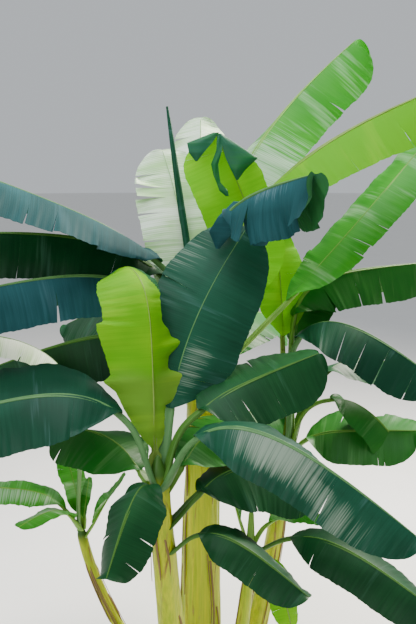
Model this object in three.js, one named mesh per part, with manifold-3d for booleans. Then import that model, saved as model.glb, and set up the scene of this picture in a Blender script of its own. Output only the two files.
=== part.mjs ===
// A banana clump: one thick main stem with four younger shoots round its foot, and their leaves.
// Millimetres, +Z up. The origin is the middle of the flat cut under the main stem, at ground level.
// Plan angles are counted from +X towards +Y. +Y is the back of the clump.
import * as THREE from "three";
import { mergeVertices } from "three/addons/utils/BufferGeometryUtils.js";
import Module from "manifold-3d";

const wasm = await Module();
wasm.setup();

const GAP = 0.3; // clearance kept between two solids that meet
const SLIVER = 0.05; // points nearer than this to a line or to each other are merged after a cut
const BLADE_THICKNESS = 0.0105; // as a share of the blade's length
const STEM_SIDES = 14;
const STEM_RINGS = [0, 0.02, 0.06, 0.13, 0.3, 0.5, 0.7, 0.86, 0.95, 1]; // heights, as shares
const VEIN_LEAN = 0.22; // how far the side veins lean towards the tip, per unit of width
const PATH_STEPS = 60; // steps that a leaf's line is worked out in
const STALK_RINGS = 3;
const BLADE_RINGS = 9;
const SMALL_BLADE = 650; // a shorter blade gets fewer rings
const SMALL_BLADE_RINGS = 6;
const FOOT_DEPTH = 0.8; // where a leaf stalk starts, as a share of the stem's radius
const STALK_FOLD = 25; // how far the sides of a leaf stalk are raised
const TEAR_DEPTH = 90; // half height of the cutter that opens a tear

const rad = THREE.MathUtils.degToRad;
const mix = THREE.MathUtils.lerp;

// Stems: foot and head in plan, height, radii just above the foot's flare and at the neck, flare
const STEMS = {
  main: { foot: [0, 0], head: [20, 0], height: 1560, lower: 96, neck: 58, flare: 42 },
  front: { foot: [-62, -214], head: [-145, -500], height: 1250, lower: 62, neck: 36, flare: 34 },
  right: { foot: [196, 84], head: [392, 250], height: 1110, lower: 54, neck: 32, flare: 28 },
  low: { foot: [118, -148], head: [213, -190], height: 770, lower: 34, neck: 20, flare: 22 },
  left: { foot: [-180, 38], head: [-500, -20], height: 790, lower: 34, neck: 20, flare: 22 },
};

// Leaves: at = height where the leaf stalk leaves the stem, face = plan angle it grows to,
// rise = slope at the start, arch = how much that slope falls, bend = the share of the length
// where half of it has fallen, snap = how sudden the bend is, sway = how far the plan angle turns,
// stalk, blade and width = sizes, roll = turn about the midrib, opens and closes = the shares of
// the blade where its outline reaches its full width and where it starts to close,
// left and right = fold of each half above level, at the base and at the tip,
// slim = the right half's width as a share of the left's,
// tears = side (1 left, -1 right), place along the blade, how near the midrib it reaches.
const LEAVES = {
  main: [
    { name: "left_top", at: 1465, face: 200, rise: 88, arch: 69, bend: 0.24, stalk: 480, blade: 1170,
      width: 380, side: 232, left: [-15, -35], right: [10, -40], tears: [[1, 0.5, 0.5], [1, 0.6, 0.4]] },
    { name: "left_middle", at: 1445, face: 190, rise: 86, arch: 92, bend: 0.31, stalk: 420, blade: 1130,
      width: 380, side: 190, left: [-42, -60], right: [5, -40], tears: [[1, 0.62, 0.4], [-1, 0.5, 0.3]] },
    { name: "left_low", at: 1375, face: 211, rise: 80, arch: 95, bend: 0.34, stalk: 360, blade: 1090,
      width: 350, side: 216, left: [-40, -66], right: [-30, -52], tears: [[1, 0.32, 0.12], [1, 0.5, 0.3]] },
    { name: "left_hanging", at: 1290, face: 172, rise: 80, arch: 105, bend: 0.26, stalk: 270, blade: 950,
      width: 390, side: 160, left: [-68, -78], right: [-20, -50], tears: [[1, 0.6, 0.3]] },
    { name: "top_right", at: 1500, face: 64, rise: 85, arch: 50, bend: 0.42, stalk: 520, blade: 1100,
      width: 400, side: 62, sway: -46, closes: 0.78, left: [0, -35], right: [-25, -50],
      tears: [[-1, 0.5, 0.6], [-1, 0.7, 0.6]] },
    { name: "arching_right", at: 1455, face: -4, rise: 86, arch: 72, bend: 0.42, stalk: 680, blade: 1120,
      width: 390, side: -30, left: [10, -40], right: [-30, -62], tears: [[-1, 0.6, 0.35]] },
    { name: "folded_tip", at: 1510, face: 10, rise: 55, arch: -61, bend: 0.42, stalk: 300, blade: 690,
      width: 370, roll: 85, side: 15, snap: 5, closes: 0.78, slim: 0.6,
      left: [10, 14], right: [10, 0], tears: [] },
    { name: "drooping_front", at: 1490, face: -58, rise: 88, arch: 80, bend: 0.47, stalk: 690, blade: 560,
      width: 400, side: -88, snap: 5, left: [-40, -62], right: [-50, -70],
      tears: [[-1, 0.3, 0.15], [-1, 0.55, 0.15], [1, 0.4, 0.15], [1, 0.7, 0.3]] },
    { name: "back_left_upright", at: 1480, face: 119, rise: 82, arch: 40, bend: 0.75, stalk: 170,
      blade: 760, width: 340, side: 136, left: [10, -10], right: [25, 15],
      tears: [[1, 0.6, 0.4], [1, 0.75, 0.3]] },
    { name: "back_upright", at: 1500, face: 90, rise: 73, arch: 30, bend: 0.7, stalk: 310, blade: 800,
      width: 330, side: 108, left: [10, -20], right: [10, -25],
      tears: [[1, 0.5, 0.2], [1, 0.65, 0.2], [-1, 0.45, 0.2], [-1, 0.6, 0.2]] },
    { name: "right_straight", at: 1430, face: 20, rise: 42, arch: -6, bend: 0.5, stalk: 440, blade: 1100,
      width: 280, side: -36, left: [20, 10], right: [-10, -35], tears: [[-1, 0.35, 0.2]] },
    { name: "back_low", at: 1320, face: 98, rise: 70, arch: 85, bend: 0.4, stalk: 300, blade: 1100,
      width: 380, left: [0, -45], right: [0, -45], tears: [[1, 0.5, 0.2], [-1, 0.65, 0.2]] },
    { name: "back_left_low", at: 1240, face: 128, rise: 62, arch: 90, bend: 0.4, stalk: 280, blade: 1000,
      width: 370, side: 120, left: [-10, -45], right: [-10, -55], tears: [[1, 0.55, 0.2]] },
    { name: "back_right_low", at: 1190, face: 70, rise: 62, arch: 90, bend: 0.4, stalk: 280, blade: 1050,
      width: 370, left: [-5, -45], right: [-5, -50], tears: [[-1, 0.5, 0.2]] },
  ],
  front: [
    { name: "young", at: 1190, face: 120, rise: 87, arch: 130, bend: 0.9, stalk: 60, blade: 785,
      width: 340, side: 110, snap: 8, opens: 0.52, closes: 0.74, slim: 0.75,
      left: [-20, -12], right: [-24, -20], tears: [] },
    { name: "left", at: 1140, face: 190, rise: 78, arch: 100, bend: 0.3, stalk: 300, blade: 950,
      width: 400, side: 232, left: [-30, -62], right: [20, 34], tears: [] },
    { name: "tall", at: 1190, face: 62, rise: 74, arch: 27, bend: 0.5, stalk: 220, blade: 770,
      width: 410, roll: 34, sway: -30, side: 70, closes: 0.5, left: [6, 4], right: [0, -5], tears: [] },
    { name: "right_long", at: 1120, face: -25, rise: 68, arch: 105, bend: 0.3, stalk: 250, blade: 940,
      width: 350, side: -40, left: [10, -35], right: [-40, -60], tears: [[-1, 0.62, 0.45]] },
    { name: "right_middle", at: 1160, face: 18, rise: 80, arch: 66, bend: 0.28, stalk: 290, blade: 520,
      width: 360, side: -24, left: [25, 5], right: [-30, -58], tears: [[-1, 0.3, 0.3]] },
    { name: "left_back", at: 1120, face: 150, rise: 50, arch: 66, bend: 0.5, stalk: 70, blade: 440,
      width: 330, side: 160, left: [-20, -40], right: [10, -20], tears: [] },
    { name: "right_back", at: 1105, face: 42, rise: 46, arch: 60, bend: 0.5, stalk: 100, blade: 560,
      width: 330, left: [10, -10], right: [-30, -40], tears: [] },
    { name: "right_low", at: 960, face: 14, rise: 50, arch: 100, bend: 0.55, stalk: 160, blade: 540,
      width: 370, left: [10, -20], right: [-30, -50], tears: [] },
    { name: "hanging", at: 1120, face: -110, rise: 35, arch: 85, bend: 0.3, stalk: 60, blade: 460,
      width: 260, left: [-20, -40], right: [-20, -40], tears: [[1, 0.6, 0.5]] },
    { name: "lowest", at: 845, face: -29, rise: 50, arch: 85, bend: 0.32, stalk: 160, blade: 490,
      width: 220, left: [10, -20], right: [-30, -50], tears: [] },
  ],
  right: [
    { name: "arching", at: 1075, face: -20, rise: 92, arch: 128, bend: 0.47, stalk: 470, blade: 720,
      width: 380, side: -70, snap: 6, left: [0, -40], right: [-20, -50],
      tears: [[-1, 0.35, 0.1], [-1, 0.5, 0.1], [-1, 0.62, 0.1], [-1, 0.74, 0.1], [-1, 0.86, 0.2]] },
    { name: "young", at: 1080, face: 110, rise: 91, arch: 24, bend: 0.7, stalk: 460, blade: 470,
      width: 200, side: 170, left: [25, 0], right: [25, 0], tears: [] },
    { name: "back", at: 1040, face: 48, rise: 86, arch: 60, bend: 0.7, stalk: 460, blade: 560,
      width: 290, roll: -20, side: 115, left: [0, -30], right: [-20, -50], tears: [[-1, 0.5, 0.3]] },
    { name: "level", at: 1060, face: 16, rise: 92, arch: 90, bend: 0.5, snap: 9, stalk: 570, blade: 800,
      width: 330, side: 20, left: [-20, -60], right: [-50, -72],
      tears: [[-1, 0.25, 0.2], [-1, 0.45, 0.3], [-1, 0.6, 0.2], [1, 0.5, 0.2]] },
    { name: "low", at: 1005, face: -20, rise: 60, arch: 56, bend: 0.2, stalk: 110, blade: 500,
      width: 330, left: [30, 10], right: [-35, -45], tears: [[1, 0.3, 0.3]] },
    { name: "far_right", at: 1010, face: 40, rise: 70, arch: 100, bend: 0.4, stalk: 400, blade: 700,
      width: 300, side: 55, left: [-10, -40], right: [-20, -55], tears: [[-1, 0.5, 0.2]] },
    { name: "back_hanging", at: 960, face: -20, rise: 86, arch: 165, bend: 0.5, stalk: 400, blade: 440,
      width: 240, left: [-10, -45], right: [-10, -45], tears: [[1, 0.6, 0.2]] },
  ],
  low: [
    { name: "front_right", at: 730, face: -38, rise: 38, arch: 66, bend: 0.35, stalk: 220, blade: 720,
      width: 270, side: -60, left: [12, -15], right: [-30, -45], tears: [] },
    { name: "small_right", at: 755, face: 20, rise: 66, arch: 80, bend: 0.3, stalk: 120, blade: 300,
      width: 110, side: 10, left: [10, -10], right: [-30, -50], tears: [] },
    { name: "small_hanging", at: 690, face: -62, rise: 36, arch: 110, bend: 0.4, stalk: 100, blade: 320,
      width: 130, left: [-20, -30], right: [-20, -30], tears: [] },
    { name: "upright_left", at: 755, face: 170, rise: 76, arch: 14, bend: 0.5, stalk: 120, blade: 340,
      width: 90, side: 170, left: [25, 0], right: [25, 0], tears: [] },
    { name: "upright_back", at: 760, face: 80, rise: 80, arch: 14, bend: 0.5, stalk: 130, blade: 380,
      width: 100, side: 90, left: [25, 0], right: [25, 0], tears: [] },
  ],
  left: [
    { name: "level", at: 770, face: 184, rise: 62, arch: 62, bend: 0.3, stalk: 100, blade: 480,
      width: 160, side: 215, left: [-20, -40], right: [25, 0], tears: [] },
    { name: "front", at: 765, face: 225, rise: 64, arch: 84, bend: 0.4, stalk: 60, blade: 300,
      width: 150, side: 230, left: [20, 0], right: [0, -20], tears: [] },
    { name: "upright_back", at: 755, face: 130, rise: 78, arch: 20, bend: 0.5, stalk: 60, blade: 280,
      width: 120, side: 90, left: [30, 0], right: [30, 0], tears: [] },
    { name: "small_spear", at: 765, face: 50, rise: 84, arch: 8, bend: 0.5, stalk: 40, blade: 180,
      width: 60, side: 30, left: [50, 20], right: [50, 20], tears: [] },
    { name: "tall", at: 770, face: 192, rise: 94, arch: 104, bend: 0.66, snap: 5, stalk: 610, blade: 560,
      width: 230, side: 180, left: [-10, -30], right: [0, -30], tears: [[1, 0.5, 0.3]] },
    { name: "right_up", at: 730, face: 8, rise: 62, arch: 8, bend: 0.5, stalk: 60, blade: 260,
      width: 90, left: [50, 20], right: [50, 20], tears: [] },
  ],
};

// The rolled new leaf that stands up from the main stem
const SPEAR = { stem: "main", at: 1500, face: 126, rise: 76, length: 1060, foot: 19, middle: 16, tip: 5 };
const SPEAR_SIDES = 8;

// A stem's axis at a height, a fraction of its own height: it leaves the foot leaning and then rises
function axisPoint(stem, share) {
  const lean = 1 - (1 - share) ** 1.5;
  return new THREE.Vector3(
    mix(stem.foot[0], stem.head[0], lean),
    mix(stem.foot[1], stem.head[1], lean),
    stem.height * share,
  );
}

// Its radius there: a straight taper, a flare at the ground and a drawn-in top
function stemRadius(stem, share) {
  const taper = mix(stem.lower, stem.neck, share);
  const flare = stem.flare * Math.exp((-share * stem.height) / 55);
  const drawnIn = share > 0.9 ? 1 - 0.45 * ((share - 0.9) / 0.1) ** 2 : 1;
  return (taper + flare) * drawnIn;
}

// A closed skin over rings of equally many points, with a flat lid at each end
function skin(rings) {
  const around = rings[0].length;
  const positions = rings.flat().flatMap((p) => [p.x, p.y, p.z]);
  const faces = [];
  for (let i = 0; i + 1 < rings.length; i++) {
    for (let j = 0; j < around; j++) {
      const next = (j + 1) % around;
      const [a, b] = [i * around + j, i * around + next];
      const [c, d] = [a + around, b + around];
      faces.push(a, b, d, a, d, c);
    }
  }
  const lastRing = (rings.length - 1) * around;
  for (let j = 1; j + 1 < around; j++) {
    faces.push(0, j + 1, j);
    faces.push(lastRing, lastRing + j, lastRing + j + 1);
  }
  const made = new THREE.BufferGeometry();
  made.setAttribute("position", new THREE.Float32BufferAttribute(positions, 3));
  made.setIndex(faces);
  return made;
}

// A geometry as a solid that can be cut and joined, and back
function solidOf(geometry) {
  const bare = geometry.clone();
  bare.deleteAttribute("normal");
  bare.deleteAttribute("uv");
  const merged = mergeVertices(bare, 1e-3);
  const mesh = new wasm.Mesh({
    numProp: 3,
    vertProperties: new Float32Array(merged.attributes.position.array),
    triVerts: new Uint32Array(merged.index.array),
  });
  return new wasm.Manifold(mesh);
}

function geometryOf(solid) {
  const mesh = solid.getMesh();
  const made = new THREE.BufferGeometry();
  made.setAttribute("position", new THREE.Float32BufferAttribute(mesh.vertProperties, 3));
  made.setIndex(new THREE.Uint32BufferAttribute(mesh.triVerts, 1));
  return made;
}

// The largest of a solid's separate lumps
function largestLump(solid) {
  return solid.decompose().sort((a, b) => b.volume() - a.volume())[0];
}

function stemSolid(stem, grown = 0) {
  const rings = STEM_RINGS.map((share) => {
    const centre = axisPoint(stem, share);
    const radius = stemRadius(stem, share) + grown;
    return Array.from({ length: STEM_SIDES }, (_, j) => {
      const turn = (2 * Math.PI * j) / STEM_SIDES;
      return new THREE.Vector3(
        centre.x + radius * Math.cos(turn),
        centre.y + radius * Math.sin(turn),
        centre.z,
      );
    });
  });
  return solidOf(skin(rings));
}

// The frame of a leaf at each of PATH_STEPS + 1 places: point, forward, left and up directions.
// Forward's slope is rise - arch * s^n / (s^n + bend^n), n being the snap, and its plan angle
// is face + sway * s, with s from 0 to 1.
function leafPath(stem, leaf) {
  const share = leaf.at / stem.height;
  const { face, rise, arch, bend, snap = 3, sway = 0, roll = 0, side = face } = leaf;
  const length = leaf.stalk + leaf.blade;
  const out = stemRadius(stem, share) * FOOT_DEPTH;
  const point = axisPoint(stem, share);
  point.x += out * Math.cos(rad(side));
  point.y += out * Math.sin(rad(side));
  const frames = [];
  for (let i = 0; i <= PATH_STEPS; i++) {
    const s = i / PATH_STEPS;
    const slope = rad(rise - (arch * s ** snap) / (s ** snap + bend ** snap));
    const turn = rad(face + sway * s);
    const forward = new THREE.Vector3(
      Math.cos(slope) * Math.cos(turn),
      Math.cos(slope) * Math.sin(turn),
      Math.sin(slope),
    );
    const left = new THREE.Vector3(-Math.sin(turn), Math.cos(turn), 0);
    left.applyAxisAngle(forward, rad(roll));
    const up = forward.clone().cross(left);
    frames.push({ point: point.clone(), forward, left, up });
    point.addScaledVector(forward, length / PATH_STEPS);
  }
  return frames;
}

// The frame at s, between the two nearest places of the path
function frameAt(path, s) {
  const place = Math.min(Math.max(s, 0), 1) * PATH_STEPS;
  const i = Math.min(Math.floor(place), PATH_STEPS - 1);
  const [a, b] = [path[i], path[i + 1]];
  return {
    point: a.point.clone().lerp(b.point, place - i),
    forward: a.forward.clone().lerp(b.forward, place - i).normalize(),
    left: a.left.clone().lerp(b.left, place - i).normalize(),
    up: a.up.clone().lerp(b.up, place - i).normalize(),
  };
}

// A blade's half width as a share of its greatest: it opens over a first part of its length,
// stays nearly even and rounds off to the tip over the last part
function outline(leaf, u) {
  const { opens = 0.3, closes = 0.62 } = leaf;
  const opening = Math.sin((Math.PI / 2) * Math.min(1, u / opens)) ** 0.8;
  const last = Math.max(0, (u - closes) / (1 - closes));
  return opening * Math.sqrt(Math.max(0, 1 - last ** 2.2));
}

// A point of a leaf's middle surface at s along it, v across from -1 (right) to 1 (left), and the
// direction square to the surface there. Each half leaves the midrib at its fold angle and bows
// down a little to its edge. Where the leaf is narrow the folds fade out.
function surfacePlace(leaf, path, s, u, v, halfWidth, grown = 0) {
  const frame = frameAt(path, s);
  const [base, tip] = v >= 0 ? leaf.left : leaf.right;
  const named = mix(base, tip, Math.min(1, u * 1.25)) - 8 * Math.abs(v);
  const narrow = u < 0.5 ? STALK_FOLD : 0;
  const fold = rad(mix(narrow, named, Math.min(1, Math.max(0, (halfWidth - 16) / 70))));
  const reach = Math.abs(v) * (halfWidth + grown);
  const way = Math.sign(v);
  const spread = frame.left.clone().multiplyScalar(way * Math.cos(fold));
  spread.addScaledVector(frame.up, Math.sin(fold));
  const normal = frame.up.clone().multiplyScalar(Math.cos(fold));
  normal.addScaledVector(frame.left, -way * Math.sin(fold));
  const point = frame.point
    .addScaledVector(spread, reach)
    .addScaledVector(frame.forward, reach * VEIN_LEAN * u);
  return { point, normal: v === 0 ? frame.up : normal };
}

const ACROSS = [1, 0.5, 0, -0.5, -1];

// One ring of the leaf: five points over its top and five back under it
function leafRing(leaf, path, s, u, halfWidth, middle, edge, grown) {
  const tops = [];
  const unders = [];
  for (const v of ACROSS) {
    const half = v < 0 ? halfWidth * (leaf.slim ?? 1) : halfWidth;
    const { point, normal } = surfacePlace(leaf, path, s, u, v, half, grown);
    const thick = v === 0 ? middle : edge;
    tops.push(point.clone().addScaledVector(normal, edge / 2 + grown));
    unders.push(point.clone().addScaledVector(normal, edge / 2 - thick - grown));
  }
  return [...tops, ...unders.reverse()];
}

// The whole leaf, or a slightly grown one that cuts a neighbour clear of it
function leafSolid(stem, leaf, grown = 0) {
  const path = leafPath(stem, leaf);
  const length = leaf.stalk + leaf.blade;
  const edge = leaf.blade * BLADE_THICKNESS;
  const stalkHalf = 7 + leaf.width * 0.035;
  const stalkThick = stalkHalf * 1.45;
  const rings = [];
  for (let i = 0; i < STALK_RINGS; i++) {
    const s = (leaf.stalk / length) * (i / STALK_RINGS);
    const swell = mix(1.2, 1, i / STALK_RINGS);
    const thick = stalkThick * swell;
    rings.push(leafRing(leaf, path, s, 0, stalkHalf * swell, thick, thick * 0.6, grown));
  }
  const count = leaf.blade < SMALL_BLADE ? SMALL_BLADE_RINGS : BLADE_RINGS;
  for (let i = 0; i <= count; i++) {
    // more rings near the base and the tip, where the outline turns
    const u = (1 - Math.cos((Math.PI * i) / count)) / 2;
    const s = (leaf.stalk + leaf.blade * u) / length;
    const half = Math.max((leaf.width / 2) * outline(leaf, u), mix(stalkHalf, 9, u));
    rings.push(leafRing(leaf, path, s, u, half, mix(stalkThick, edge, u ** 0.8), edge, grown));
  }
  let solid = solidOf(skin(rings));
  if (grown > 0) return solid;
  for (const [side, along, near] of leaf.tears) {
    solid = solid.subtract(tearCutter(leaf, path, side, along, near));
  }
  return solid;
}

// A tear: a wedge with its point by the midrib that opens to the edge, cut along the side veins
function tearCutter(leaf, path, side, along, near) {
  const length = leaf.stalk + leaf.blade;
  const half = (leaf.width / 2) * outline(leaf, along);
  const s = (leaf.stalk + leaf.blade * along) / length;
  const { forward, up } = frameAt(path, s);
  const start = surfacePlace(leaf, path, s, along, side * near, half).point;
  const end = surfacePlace(leaf, path, s, along, side * 1.25, half).point;
  const opening = 14 + 12 * (1 - near);
  const triangle = [
    start,
    end.clone().addScaledVector(forward, -opening),
    end.clone().addScaledVector(forward, opening),
  ];
  const across = end.clone().sub(start).normalize();
  const normal = forward.clone().cross(across).normalize();
  if (normal.dot(up) < 0) normal.negate();
  const below = triangle.map((p) => p.clone().addScaledVector(normal, -TEAR_DEPTH));
  const above = triangle.map((p) => p.clone().addScaledVector(normal, TEAR_DEPTH));
  const wedge = solidOf(skin([below, above]));
  return wedge.volume() > 0 ? wedge : solidOf(skin([above, below]));
}

// The rolled leaf: a slim tapering rod whose lower end the stem cuts clear
function spearSolid(grown = 0) {
  const stem = STEMS[SPEAR.stem];
  const start = axisPoint(stem, SPEAR.at / stem.height);
  const forward = new THREE.Vector3(
    Math.cos(rad(SPEAR.rise)) * Math.cos(rad(SPEAR.face)),
    Math.cos(rad(SPEAR.rise)) * Math.sin(rad(SPEAR.face)),
    Math.sin(rad(SPEAR.rise)),
  );
  const left = new THREE.Vector3(-Math.sin(rad(SPEAR.face)), Math.cos(rad(SPEAR.face)), 0);
  const up = forward.clone().cross(left);
  const rings = [0, 0.25, 0.5, 0.75, 0.93, 1].map((s) => {
    const lower = mix(SPEAR.foot, SPEAR.middle, s * 2);
    const upper = mix(SPEAR.middle, SPEAR.tip, s * 2 - 1);
    const radius = (s < 0.5 ? lower : upper) + grown;
    return Array.from({ length: SPEAR_SIDES }, (_, j) => {
      const turn = (2 * Math.PI * j) / SPEAR_SIDES;
      return start
        .clone()
        .addScaledVector(forward, SPEAR.length * s)
        .addScaledVector(left, radius * Math.cos(turn))
        .addScaledVector(up, radius * Math.sin(turn));
    });
  });
  return solidOf(skin(rings));
}

const stemMaterial = new THREE.MeshStandardMaterial({ color: 0xb7b83a, roughness: 0.6, metalness: 0 });
const leafMaterial = new THREE.MeshStandardMaterial({ color: 0x2f6b3a, roughness: 0.45, metalness: 0 });
const youngMaterial = new THREE.MeshStandardMaterial({ color: 0x86b83a, roughness: 0.45, metalness: 0 });

function addMesh(group, name, solid, material) {
  const mesh = new THREE.Mesh(geometryOf(solid), material);
  mesh.name = name;
  group.add(mesh);
}

// Each shoot's foot is cut clear of the main stem's flare that it grows from
function makeStems(group) {
  const mainGrown = stemSolid(STEMS.main, GAP);
  for (const [name, stem] of Object.entries(STEMS)) {
    const whole = stemSolid(stem);
    const solid = name === "main" ? whole : largestLump(whole.subtract(mainGrown)).simplify(SLIVER);
    addMesh(group, `stem_${name}`, solid, stemMaterial);
  }
}

// Each leaf is cut clear of the stem that carries it and of the leaves listed before it
function makeLeaves(group) {
  const placed = [];
  const place = (name, whole, grownSelf, stem, material) => {
    let solid = whole.subtract(stemSolid(stem, GAP));
    for (const other of placed) {
      if (boxesMeet(solid, other) && solid.intersect(other).volume() > 0.001) {
        solid = solid.subtract(other);
      }
    }
    placed.push(grownSelf);
    addMesh(group, name, largestLump(solid).simplify(SLIVER), material);
  };
  for (const [stemName, leaves] of Object.entries(LEAVES)) {
    const stem = STEMS[stemName];
    for (const leaf of leaves) {
      const material = leaf.name === "young" ? youngMaterial : leafMaterial;
      const name = `leaf_${stemName}_${leaf.name}`;
      place(name, leafSolid(stem, leaf), leafSolid(stem, leaf, GAP), stem, material);
    }
  }
  place("leaf_main_rolled", spearSolid(), spearSolid(GAP), STEMS[SPEAR.stem], youngMaterial);
}

function boxesMeet(one, other) {
  const [a, b] = [one.boundingBox(), other.boundingBox()];
  return [0, 1, 2].every((k) => a.min[k] < b.max[k] && b.min[k] < a.max[k]);
}

const clump = new THREE.Group();
makeStems(clump);
makeLeaves(clump);

export default clump;
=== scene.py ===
import math

import bpy
import numpy as np
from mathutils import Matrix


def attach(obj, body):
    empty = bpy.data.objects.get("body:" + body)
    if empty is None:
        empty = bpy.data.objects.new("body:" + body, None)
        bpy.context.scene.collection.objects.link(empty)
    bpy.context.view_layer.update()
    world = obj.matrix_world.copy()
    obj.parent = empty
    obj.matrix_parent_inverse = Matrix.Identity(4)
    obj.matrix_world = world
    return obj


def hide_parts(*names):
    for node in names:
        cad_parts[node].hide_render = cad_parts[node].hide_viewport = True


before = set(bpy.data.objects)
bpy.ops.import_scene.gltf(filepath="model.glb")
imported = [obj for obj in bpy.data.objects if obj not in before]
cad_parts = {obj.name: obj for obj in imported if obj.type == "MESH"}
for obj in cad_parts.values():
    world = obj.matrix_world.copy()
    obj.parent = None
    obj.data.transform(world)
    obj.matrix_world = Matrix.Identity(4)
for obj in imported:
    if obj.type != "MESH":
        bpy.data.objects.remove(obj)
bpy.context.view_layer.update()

# A clump of banana stems with torn, arching leaves. Lengths in the dictionaries are millimetres,
# angles are degrees, and plan angles are counted from +X towards +Y, the back of the clump. The
# view, the lamps, the room and the scales of the materials are in metres.
mm = 0.001
print("banana clump: frame loaded")


# View and light

view = dict(place=(0.04, -4.0, 2.4), tilt=80, lens=57.12, sensor=36)
room = dict(
    sky=(0.9, 0.95, 1.0), strength=0.6, floor=(0.8, 0.79, 0.77), darker=(0.752, 0.7426, 0.7238),
    size=40, corners=96)
lamps = [
    dict(name="sunSide", place=(2.6, 2.2, 4.6), aim=(0, 0, 1.6), size=1.8, watts=900,
         colour=(1.0, 0.95, 0.84)),
    dict(name="skyTop", place=(-0.8, -0.6, 5.2), aim=(0, 0, 1.2), size=3.6, watts=220,
         colour=(0.86, 0.93, 1.0)),
    dict(name="fill", place=(-2.6, -4.2, 2.6), aim=(0, 0, 1.4), size=3.0, watts=110,
         colour=(0.95, 0.97, 1.0)),
]


def aimed(thing, target):
    # turns a lamp so that its -Z axis points at the target
    away = np.array(thing.location) - np.array(target)
    flat = math.hypot(away[0], away[1])
    thing.rotation_euler = (math.atan2(flat, away[2]), 0, math.atan2(away[0], -away[1]))


def placed(name, data):
    thing = bpy.data.objects.new(name, data)
    bpy.context.collection.objects.link(thing)
    return thing


def makeView():
    lens = bpy.data.cameras.new("view")
    lens.sensor_width = view["sensor"]
    lens.lens = view["lens"]
    camera = placed("view", lens)
    camera.location = view["place"]
    camera.rotation_euler = (math.radians(view["tilt"]), 0, 0)
    bpy.context.scene.camera = camera
    for lamp in lamps:
        light = bpy.data.lights.new(lamp["name"], "AREA")
        light.shape = "DISK"
        light.size = lamp["size"]
        light.energy = lamp["watts"]
        light.color = lamp["colour"]
        thing = placed(lamp["name"], light)
        thing.location = lamp["place"]
        aimed(thing, lamp["aim"])
    world = bpy.data.worlds.new("room")
    bpy.context.scene.world = world
    world.use_nodes = True
    back = world.node_tree.nodes["Background"]
    back.inputs["Color"].default_value = (*room["sky"], 1)
    back.inputs["Strength"].default_value = room["strength"]


# Materials

class Wire:
    # one output of a node, with Python's arithmetic written out as Math nodes
    def __init__(self, recipe, socket):
        self.recipe = recipe
        self.socket = socket

    def maths(self, operation, *values):
        return self.recipe.node("ShaderNodeMath", {"operation": operation}, dict(enumerate(values)))

    def __add__(self, other):
        return self.maths("ADD", self, other)

    __radd__ = __add__

    def __sub__(self, other):
        return self.maths("SUBTRACT", self, other)

    def __rsub__(self, other):
        return self.maths("SUBTRACT", other, self)

    def __mul__(self, other):
        return self.maths("MULTIPLY", self, other)

    def __truediv__(self, other):
        return self.maths("DIVIDE", self, other)

    def size(self):
        return self.maths("ABSOLUTE", self)

    def sine(self):
        return self.maths("SINE", self)

    def held(self):
        # kept between 0 and 1
        return self.maths("MINIMUM", self.maths("MAXIMUM", self, 0.0), 1.0)


class Recipe:
    # one material and the nodes in it
    def __init__(self, name):
        self.material = bpy.data.materials.new(name)
        self.material.use_nodes = True
        self.tree = self.material.node_tree
        self.tree.nodes.clear()

    def node(self, kind, settings=None, sockets=None, out=0):
        made = self.tree.nodes.new(kind)
        for key, value in (settings or {}).items():
            setattr(made, key, value)
        for key, value in (sockets or {}).items():
            socket = made.inputs[key]
            if isinstance(value, Wire):
                self.tree.links.new(value.socket, socket)
            else:
                socket.default_value = (*value, 1) if socket.type == "RGBA" else value
        return Wire(self, made.outputs[out]) if len(made.outputs) else None

    def place(self):
        # the point in the object's own metres
        return self.node("ShaderNodeTexCoord", None, None, "Object")

    def sheet(self):
        # metres along the leaf or strand, and across it or round it
        return self.node("ShaderNodeUVMap", {"uv_map": "UVMap"})

    def value(self, attribute):
        return self.node("ShaderNodeAttribute", {"attribute_name": attribute}, None, "Fac")

    def noise(self, vector, scale, detail, roughness):
        # the scale is one number, or one for each axis
        if not isinstance(scale, float):
            vector = self.node("ShaderNodeMapping", None, {"Vector": vector, "Scale": scale})
            scale = 1.0
        return self.node("ShaderNodeTexNoise", None, {
            "Vector": vector, "Scale": scale, "Detail": detail, "Roughness": roughness})

    def mixed(self, factor, first, second):
        return self.node("ShaderNodeMix", {"data_type": "RGBA"}, {0: factor, 6: first, 7: second}, 2)

    def bumped(self, height, strength, distance):
        return self.node("ShaderNodeBump", None, {
            "Height": height, "Strength": strength, "Distance": distance})

    def surface(self, colour, roughness, normal, shine=0.5, refraction=1.5):
        return self.node("ShaderNodeBsdfPrincipled", None, {
            "Base Color": colour, "Roughness": roughness, "Normal": normal,
            "Specular IOR Level": shine, "IOR": refraction})

    def finish(self, shader):
        self.node("ShaderNodeOutputMaterial", None, {"Surface": shader})
        return self.material


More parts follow.
